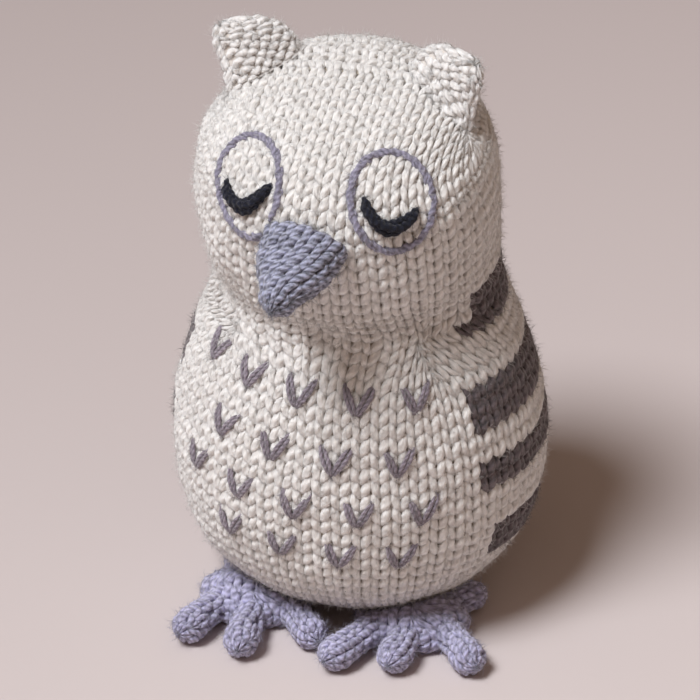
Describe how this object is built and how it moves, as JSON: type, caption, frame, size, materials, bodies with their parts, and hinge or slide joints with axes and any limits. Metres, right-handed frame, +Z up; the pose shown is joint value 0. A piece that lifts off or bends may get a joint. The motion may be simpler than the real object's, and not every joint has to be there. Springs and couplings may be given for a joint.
{
  "type": "knitted owl rattle",
  "caption": "Stuffed hand-knitted owl rattle with closed embroidered eyes, plump beak, triangular ears, striped back, soft toed feet and a sealed ball of beads in the belly.",
  "frame": {"origin": "middle of the flat patch of the underside that the body stands on", "axes": "+Z up through the body; the owl looks along -Y, so its left side is +X"},
  "size_m": [0.0908, 0.1035, 0.1453],
  "materials": {
    "cream_cotton": "knitted, matte",
    "grey_cotton": "knitted, matte",
    "plum_cotton": "embroidery yarn, matte",
    "navy_cotton": "embroidery yarn, matte",
    "fibre_fill": "loose fibre, matte",
    "shell_plastic": "satin",
    "bead_plastic": "gloss"
  },
  "bodies": {
    "owl": {"body_skin": "cream_cotton", "head_skin": "cream_cotton", "ear_left": "cream_cotton", "ear_right": "cream_cotton", "body_stuffing_lower": "fibre_fill", "body_stuffing_upper": "fibre_fill", "head_stuffing": "fibre_fill", "rattle_shell_lower": "shell_plastic", "rattle_shell_upper": "shell_plastic", "beak": "grey_cotton", "eye_ring_left": "grey_cotton", "eye_ring_right": "grey_cotton", "closed_eye_left": "navy_cotton", "closed_eye_right": "navy_cotton", "feather_1_1": "plum_cotton", "feather_1_2": "plum_cotton", "feather_1_3": "plum_cotton", "feather_1_4": "plum_cotton", "feather_1_5": "plum_cotton", "feather_2_1": "plum_cotton", "feather_2_2": "plum_cotton", "feather_2_3": "plum_cotton", "feather_2_4": "plum_cotton", "feather_3_1": "plum_cotton", "feather_3_2": "plum_cotton", "feather_3_3": "plum_cotton", "feather_3_4": "plum_cotton", "feather_3_5": "plum_cotton", "feather_4_1": "plum_cotton", "feather_4_2": "plum_cotton", "feather_4_3": "plum_cotton", "feather_4_4": "plum_cotton"},
    "foot_left": {"foot_pad_left": "grey_cotton", "outer_toe_left": "grey_cotton", "middle_toe_left": "grey_cotton", "inner_toe_left": "grey_cotton", "rear_toe_left": "grey_cotton"},
    "foot_right": {"foot_pad_right": "grey_cotton", "outer_toe_right": "grey_cotton", "middle_toe_right": "grey_cotton", "inner_toe_right": "grey_cotton", "rear_toe_right": "grey_cotton"},
    "bead_1": {"bead_1": "bead_plastic"},
    "bead_2": {"bead_2": "bead_plastic"},
    "bead_3": {"bead_3": "bead_plastic"},
    "bead_4": {"bead_4": "bead_plastic"},
    "bead_5": {"bead_5": "bead_plastic"}
  },
  "joints": [
    {"name": "foot_left_flap", "type": "hinge", "parent": "owl", "child": "foot_left", "pos_m": [0.02142, -0.02843, 0.0093], "axis": [-0.7986, -0.6018, 0], "range_deg": [0, 20], "stiffness_Nm_per_rad": 0.004},
    {"name": "foot_right_flap", "type": "hinge", "parent": "owl", "child": "foot_right", "pos_m": [-0.02142, -0.02843, 0.0093], "axis": [-0.7986, 0.6018, 0], "range_deg": [0, 20], "stiffness_Nm_per_rad": 0.004},
    {"name": "bead_1_roll", "type": "hinge", "parent": "owl", "child": "bead_1", "pos_m": [0, -0.00064, 0.042], "axis": [1, 0, 0], "continuous": true},
    {"name": "bead_2_roll", "type": "hinge", "parent": "owl", "child": "bead_2", "pos_m": [0, -0.00064, 0.042], "axis": [1, 0, 0], "continuous": true},
    {"name": "bead_3_roll", "type": "hinge", "parent": "owl", "child": "bead_3", "pos_m": [0, -0.00064, 0.042], "axis": [1, 0, 0], "continuous": true},
    {"name": "bead_4_roll", "type": "hinge", "parent": "owl", "child": "bead_4", "pos_m": [0, -0.00064, 0.042], "axis": [1, 0, 0], "continuous": true},
    {"name": "bead_5_roll", "type": "hinge", "parent": "owl", "child": "bead_5", "pos_m": [0, -0.00064, 0.042], "axis": [1, 0, 0], "continuous": true}
  ]
}
